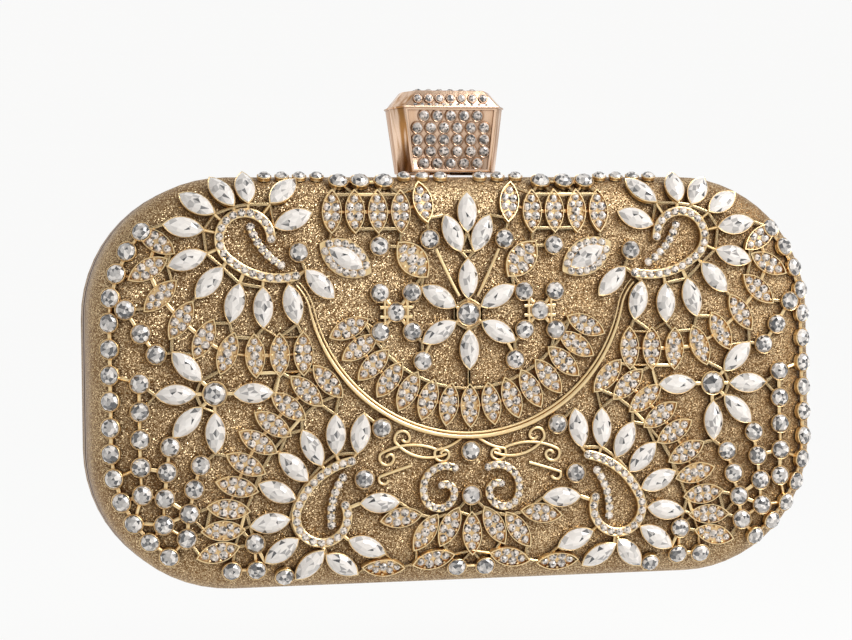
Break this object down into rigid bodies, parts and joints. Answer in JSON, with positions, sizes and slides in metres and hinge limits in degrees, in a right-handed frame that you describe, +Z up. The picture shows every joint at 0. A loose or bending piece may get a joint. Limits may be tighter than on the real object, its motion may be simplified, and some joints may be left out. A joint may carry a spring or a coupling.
{
  "type": "minaudiere clutch bag",
  "caption": "Hard box clutch in two hinged pillow-shaped halves, with a jewelled openwork front and a press-down crystal knob clasp on the top edge.",
  "frame": {"origin": "middle of the underside, half way through the depth between the tips of the front stones and the back", "axes": "+X along the width, -Y towards the jewelled front, +Z up towards the knob"},
  "size_m": [0.1896, 0.0391, 0.1266],
  "materials": {
    "glitter_fabric": "glitter",
    "moulded_shell": "matte",
    "lining_satin": "satin",
    "rose_gold": "polished",
    "pale_gold": "polished",
    "clear_crystal": "faceted",
    "grey_crystal": "faceted",
    "steel": "plated"
  },
  "bodies": {
    "back_half": {"back_frame": "rose_gold", "back_cover": "glitter_fabric", "back_shell": "moulded_shell", "back_lining": "lining_satin", "hinge_leaf_back_left": "steel", "hinge_leaf_back_right": "steel", "hinge_pin_left": "steel", "hinge_pin_right": "steel", "hinge_rivets_back": "steel", "clasp_bushing": "rose_gold", "clasp_nut": "steel", "lock_bracket": "steel", "lock_spring": "steel"},
    "front_half": {"bottom_fan_leaves": "pale_gold", "centre_flower_settings": "pale_gold", "centre_flower_stones": "clear_crystal", "centre_spirals": "pale_gold", "cluster_settings": "pale_gold", "cluster_stones": "clear_crystal", "edge_settings": "pale_gold", "edge_stones": "clear_crystal", "flower_centre_settings": "pale_gold", "flower_centre_stones": "grey_crystal", "front_cover": "glitter_fabric", "front_frame": "rose_gold", "front_lining": "lining_satin", "front_shell": "moulded_shell", "garland_band": "pale_gold", "halo_settings": "pale_gold", "halo_stones": "clear_crystal", "halo_surrounds": "pale_gold", "hinge_leaf_front_left": "steel", "hinge_leaf_front_right": "steel", "hinge_rivets_front": "steel", "inner_garland_leaves": "pale_gold", "keeper_rivets": "steel", "latch_keeper": "steel", "lower_garland_leaves": "pale_gold", "lower_paisley_bands": "pale_gold", "lower_sunburst_settings": "pale_gold", "lower_sunburst_stones": "clear_crystal", "scroll_wires": "pale_gold", "side_flower_settings": "pale_gold", "side_flower_stones": "clear_crystal", "top_row_leaves": "pale_gold", "tulip_settings": "pale_gold", "tulip_stones": "clear_crystal", "upper_garland_leaves": "pale_gold", "upper_paisley_bands": "pale_gold", "upper_sunburst_settings": "pale_gold", "upper_sunburst_stones": "clear_crystal"},
    "clasp": {"knob_body": "rose_gold", "knob_stones": "clear_crystal", "knob_stem": "steel", "latch_plate": "steel", "stem_clip": "steel"}
  },
  "joints": [
    {"name": "front_hinge", "type": "hinge", "parent": "back_half", "child": "front_half", "pos_m": [0, 0.00351, 0.0015], "axis": [1, 0, 0], "range_deg": [0, 90]},
    {"name": "knob_press", "type": "slide", "parent": "back_half", "child": "clasp", "axis": [0, 0, -1], "range_m": [0, 0.0014], "stiffness_N_per_m": 600, "springref_m": -0.002, "deforming": ["lock_spring"]}
  ]
}
